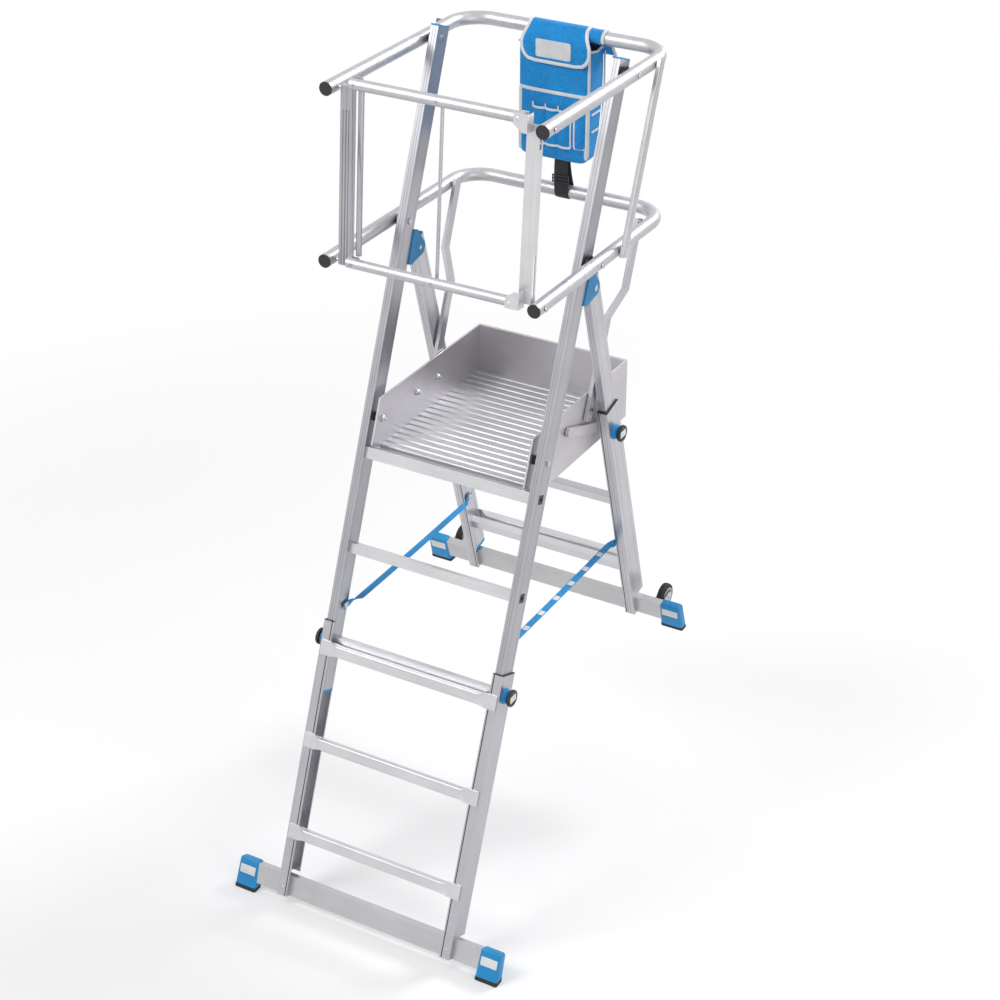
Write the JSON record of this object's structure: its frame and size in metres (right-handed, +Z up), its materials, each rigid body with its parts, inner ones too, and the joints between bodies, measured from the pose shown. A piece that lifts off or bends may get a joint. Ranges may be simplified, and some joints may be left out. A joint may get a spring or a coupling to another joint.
{
  "type": "podium step",
  "caption": "Folding two-leg podium step with sliding lower sections for stairs, a guarded platform, a lifting gate and a tool bag.",
  "frame": {"origin": "on the ground plane of the front soles, under the middle of the whole step", "axes": "+X across the step to its right, +Y from the front feet to the rear feet, +Z up"},
  "size_m": [0.8944, 1.2414, 2.3923],
  "materials": {
    "aluminium": "satin extruded",
    "deck_aluminium": "fine matt, ribbed",
    "board_metal": "satin sheet",
    "polished_tube": "polished tube",
    "blue_plastic": "moulded, slightly grained",
    "black_plastic": "moulded",
    "black_rubber": "moulded",
    "steel": "bright zinc",
    "wheel_rubber": "moulded",
    "webbing": "woven",
    "black_webbing": "woven",
    "bag_cloth": "coated nylon"
  },
  "bodies": {
    "front_frame": {"front_stile_left": "aluminium", "front_stile_right": "aluminium", "stile_top_caps": "blue_plastic", "stile_foot_plugs": "blue_plastic", "front_rungs": "aluminium", "platform_beam": "aluminium", "lock_socket_plugs": "black_plastic", "hinge_brackets": "blue_plastic", "hinge_pins": "steel", "hoop_spacers": "black_plastic", "hoop_pivot_bolts": "steel", "platform_pivot_bolts": "steel", "safety_straps": "webbing"},
    "front_section": {"lower_stile_left": "aluminium", "lower_stile_right": "aluminium", "lower_rungs": "aluminium", "front_stabiliser_bar": "aluminium", "front_shoes": "blue_plastic", "front_soles": "black_rubber", "front_edge_guides": "black_plastic", "front_knob_housings": "blue_plastic"},
    "front_lock_left": {"front_knob_left": "black_plastic"},
    "front_lock_right": {"front_knob_right": "black_plastic"},
    "rear_legs": {"rear_leg_left": "aluminium", "rear_leg_right": "aluminium", "rear_rungs": "aluminium", "rear_leg_plugs": "blue_plastic", "rear_socket_plugs": "black_plastic"},
    "rear_section": {"rear_lower_leg_left": "aluminium", "rear_lower_leg_right": "aluminium", "rear_lower_rung": "aluminium", "rear_stabiliser_bar": "aluminium", "rear_shoes": "blue_plastic", "rear_soles": "black_rubber", "rear_edge_guides": "black_plastic", "rear_knob_housings": "blue_plastic", "wheel_brackets": "steel"},
    "rear_lock_left": {"rear_knob_left": "black_plastic"},
    "rear_lock_right": {"rear_knob_right": "black_plastic"},
    "left_wheel": {"wheel_left": "wheel_rubber"},
    "right_wheel": {"wheel_right": "wheel_rubber"},
    "platform": {"platform_deck": "deck_aluminium", "side_board_left": "board_metal", "side_board_right": "board_metal", "toe_board": "board_metal", "board_bolts": "steel"},
    "links": {"link_bars": "aluminium"},
    "rails": {"rail_struts": "aluminium"},
    "struts": {"bent_struts": "aluminium"},
    "upper_guard": {"upper_hoop": "polished_tube", "upper_hoop_fittings": "black_plastic", "tool_bag": "bag_cloth"},
    "lower_guard": {"lower_hoop": "polished_tube", "lower_hoop_fittings": "black_plastic", "bag_strap": "black_webbing"},
    "gate_frame": {"gate_post": "aluminium"},
    "gate_upper": {"gate_top_bar": "aluminium"},
    "gate_lower": {"gate_bottom_bar": "aluminium"},
    "gate_side": {"gate_channel": "aluminium"},
    "gate_middle": {"gate_rod": "aluminium"}
  },
  "joints": [
    {"name": "front_leg_slide", "type": "slide", "parent": "front_frame", "child": "front_section", "axis": [0, 0.3665, 0.9304], "range_m": [0, 0.56]},
    {"name": "front_lock_left_pull", "type": "slide", "parent": "front_section", "child": "front_lock_left", "axis": [-1, 0, 0], "range_m": [-0.003, 0.009], "stiffness_N_per_m": 900, "springref_m": -0.0035},
    {"name": "front_lock_right_pull", "type": "slide", "parent": "front_section", "child": "front_lock_right", "axis": [1, 0, 0], "range_m": [-0.003, 0.009], "stiffness_N_per_m": 900, "springref_m": -0.0035},
    {"name": "rear_leg_fold", "type": "hinge", "parent": "front_frame", "child": "rear_legs", "pos_m": [0, 0.19392, 1.78295], "axis": [-1, 0, 0], "range_deg": [0, 37.3], "deforming": ["safety_straps", "bag_strap"]},
    {"name": "rear_leg_slide", "type": "slide", "parent": "rear_legs", "child": "rear_section", "axis": [0, 0.2723, -0.9622], "range_m": [0, 0.56]},
    {"name": "rear_lock_left_pull", "type": "slide", "parent": "rear_section", "child": "rear_lock_left", "axis": [-1, 0, 0], "range_m": [-0.003, 0.009], "stiffness_N_per_m": 900, "springref_m": -0.0035},
    {"name": "rear_lock_right_pull", "type": "slide", "parent": "rear_section", "child": "rear_lock_right", "axis": [1, 0, 0], "range_m": [-0.003, 0.009], "stiffness_N_per_m": 900, "springref_m": -0.0035},
    {"name": "left_wheel_spin", "type": "hinge", "parent": "rear_section", "child": "left_wheel", "pos_m": [-0.359, 0.57365, 0.61366], "axis": [1, 0, 0], "continuous": true},
    {"name": "right_wheel_spin", "type": "hinge", "parent": "rear_section", "child": "right_wheel", "pos_m": [0.359, 0.57365, 0.61366], "axis": [1, 0, 0], "continuous": true},
    {"name": "platform_fold", "type": "hinge", "parent": "front_frame", "child": "platform", "pos_m": [0, -0.05883, 1.36231], "axis": [1, 0, 0], "range_deg": [0, 59.97]},
    {"name": "link_turn", "type": "hinge", "parent": "platform", "child": "links", "pos_m": [0, 0.12618, 1.36231], "axis": [1, 0, 0], "range_deg": [-139.58, 0]},
    {"name": "lower_guard_fold", "type": "hinge", "parent": "front_frame", "child": "lower_guard", "pos_m": [0, 0.14462, 1.87879], "axis": [1, 0, 0], "range_deg": [0, 59.97]},
    {"name": "upper_guard_fold", "type": "hinge", "parent": "front_frame", "child": "upper_guard", "pos_m": [0, 0.32871, 2.34614], "axis": [1, 0, 0], "range_deg": [0, 59.97]},
    {"name": "rail_turn", "type": "hinge", "parent": "lower_guard", "child": "rails", "pos_m": [0, 0.25162, 1.87879], "axis": [1, 0, 0], "range_deg": [-59.97, 0]},
    {"name": "strut_turn", "type": "hinge", "parent": "lower_guard", "child": "struts", "pos_m": [0, 0.44262, 1.87879], "axis": [1, 0, 0], "range_deg": [-59.97, 0]},
    {"name": "gate_turn", "type": "hinge", "parent": "upper_guard", "child": "gate_frame", "pos_m": [-0.319, -0.12729, 2.34614], "axis": [1, 0, 0], "range_deg": [-73.02, 0]},
    {"name": "gate_lift", "type": "hinge", "parent": "gate_frame", "child": "gate_upper", "pos_m": [-0.232, -0.15121, 2.37038], "axis": [0, -0.996, 0.0897], "range_deg": [0, 70]},
    {"name": "gate_lower_lift", "type": "hinge", "parent": "gate_frame", "child": "gate_lower", "pos_m": [-0.232, -0.19356, 1.889], "axis": [0, -0.996, 0.0897], "range_deg": [0, 70]},
    {"name": "gate_side_turn", "type": "hinge", "parent": "gate_upper", "child": "gate_side", "pos_m": [0.252, -0.15121, 2.37038], "axis": [0, -0.996, 0.0897], "range_deg": [-70, 0]},
    {"name": "gate_middle_turn", "type": "hinge", "parent": "gate_upper", "child": "gate_middle", "pos_m": [0.015, -0.15121, 2.37038], "axis": [0, -0.996, 0.0897], "range_deg": [-70, 0]}
  ],
  "couplings": [
    {"joint": "platform_fold", "follows": "rear_leg_fold", "ratio": 1.6024},
    {"joint": "link_turn", "follows": "rear_leg_fold", "ratio": -3.7339},
    {"joint": "lower_guard_fold", "follows": "rear_leg_fold", "ratio": 1.6024},
    {"joint": "upper_guard_fold", "follows": "rear_leg_fold", "ratio": 1.6024},
    {"joint": "rail_turn", "follows": "rear_leg_fold", "ratio": -1.6024},
    {"joint": "strut_turn", "follows": "rear_leg_fold", "ratio": -1.6024},
    {"joint": "gate_turn", "follows": "rear_leg_fold", "ratio": -1.9495},
    {"joint": "gate_lower_lift", "follows": "gate_lift", "ratio": 1},
    {"joint": "gate_side_turn", "follows": "gate_lift", "ratio": -1},
    {"joint": "gate_middle_turn", "follows": "gate_lift", "ratio": -1}
  ]
}
